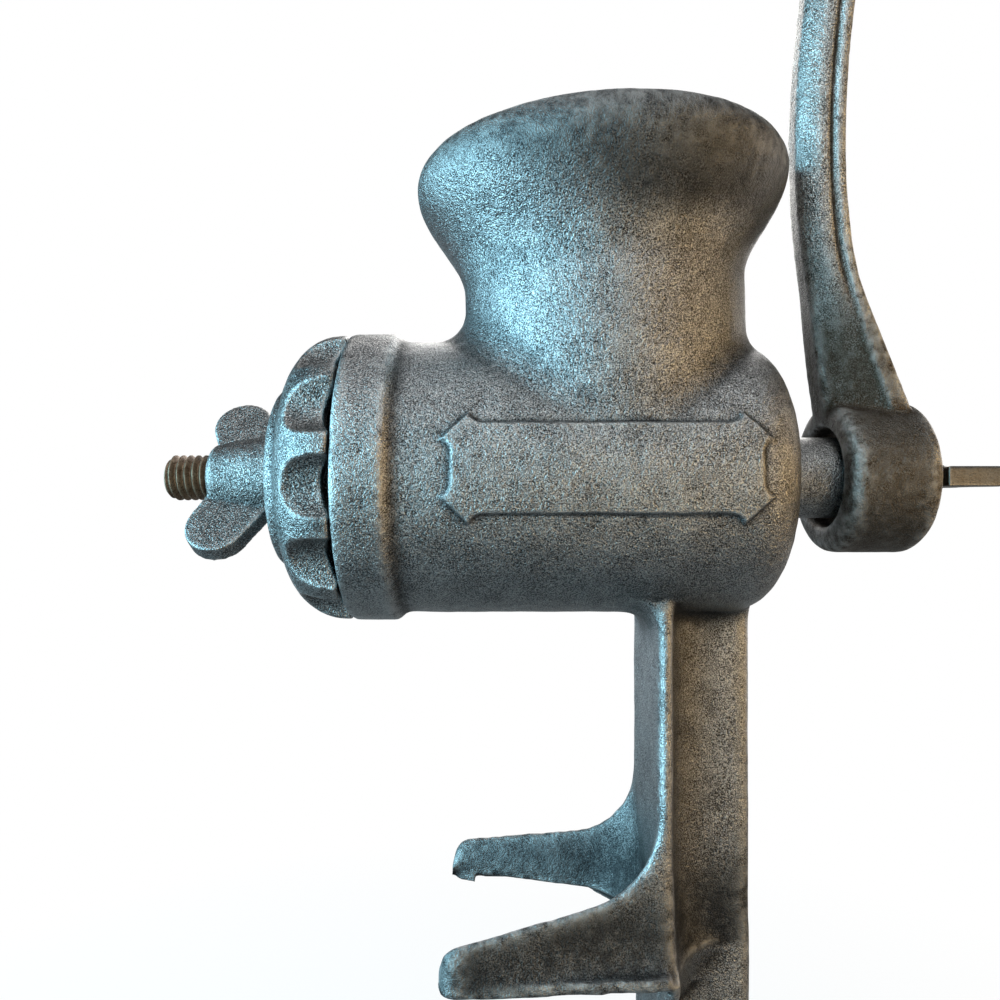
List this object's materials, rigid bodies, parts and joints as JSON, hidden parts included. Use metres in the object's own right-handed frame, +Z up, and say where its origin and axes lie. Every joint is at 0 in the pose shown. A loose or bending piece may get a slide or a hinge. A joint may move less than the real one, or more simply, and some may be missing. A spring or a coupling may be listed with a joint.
{
  "type": "manual meat grinder",
  "caption": "Hand-cranked meat grinder in tinned cast iron with a flared hopper, ribbed cutter held by a wing nut, bowed crank with a wooden grip, and a screw clamp for a table edge.",
  "frame": {"origin": "on the table seat under the feet, on the clamp screw's axis", "axes": "+Z up, +X along the barrel towards the crank, +Y across the barrel"},
  "size_m": [0.237, 0.0697, 0.3931],
  "materials": {
    "tinned_iron": "satin",
    "bright_steel": "satin",
    "rusted_steel": "matte",
    "turned_wood": "satin"
  },
  "bodies": {
    "frame": {"body_casting": "tinned_iron", "thrust_washer": "bright_steel"},
    "feed": {"feed_screw": "tinned_iron", "front_stud": "rusted_steel"},
    "cutter_cup": {"cutter": "tinned_iron"},
    "nut": {"wing_nut": "tinned_iron"},
    "crank": {"crank_arm": "tinned_iron", "grip_spindle": "bright_steel", "grip_washer_inner": "bright_steel", "grip_washer_outer": "bright_steel"},
    "crank_fastener": {"crank_screw": "bright_steel"},
    "grip": {"wooden_grip": "turned_wood"},
    "pad": {"clamp_pad": "tinned_iron"},
    "clamp": {"clamp_screw": "bright_steel", "clamp_wing": "tinned_iron"}
  },
  "joints": [
    {"name": "crank_spin", "type": "hinge", "parent": "frame", "child": "feed", "pos_m": [0, 0, 0.095], "axis": [-1, 0, 0], "continuous": true},
    {"name": "cutter_release", "type": "slide", "parent": "feed", "child": "cutter_cup", "axis": [-1, 0, 0], "range_m": [0, 0.006]},
    {"name": "nut_turn", "type": "hinge", "parent": "cutter_cup", "child": "nut", "pos_m": [-0.05, 0, 0.095], "axis": [-1, 0, 0], "range_deg": [0, 1362]},
    {"name": "crank_release", "type": "slide", "parent": "feed", "child": "crank", "axis": [1, 0, 0], "range_m": [0, 0.008]},
    {"name": "crank_screw_turn", "type": "hinge", "parent": "crank", "child": "crank_fastener", "pos_m": [0.085, 0, 0.095], "axis": [1, 0, 0], "range_deg": [0, 2042]},
    {"name": "grip_spin", "type": "hinge", "parent": "crank", "child": "grip", "pos_m": [0.12, 0, 0.245], "axis": [1, 0, 0], "continuous": true},
    {"name": "clamp_travel", "type": "slide", "parent": "frame", "child": "pad", "axis": [0, 0, 1], "range_m": [-0.011, 0.028]},
    {"name": "clamp_screw_turn", "type": "hinge", "parent": "pad", "child": "clamp", "pos_m": [0, 0, -0.08], "axis": [0, 0, 1], "range_deg": [-2028, 5161]}
  ],
  "couplings": [
    {"joint": "nut_turn", "follows": "cutter_release", "rad_per_m": 3957.9},
    {"joint": "crank_screw_turn", "follows": "crank_release", "rad_per_m": 4452.6},
    {"joint": "clamp_screw_turn", "follows": "clamp_travel", "rad_per_m": 3215.8}
  ]
}
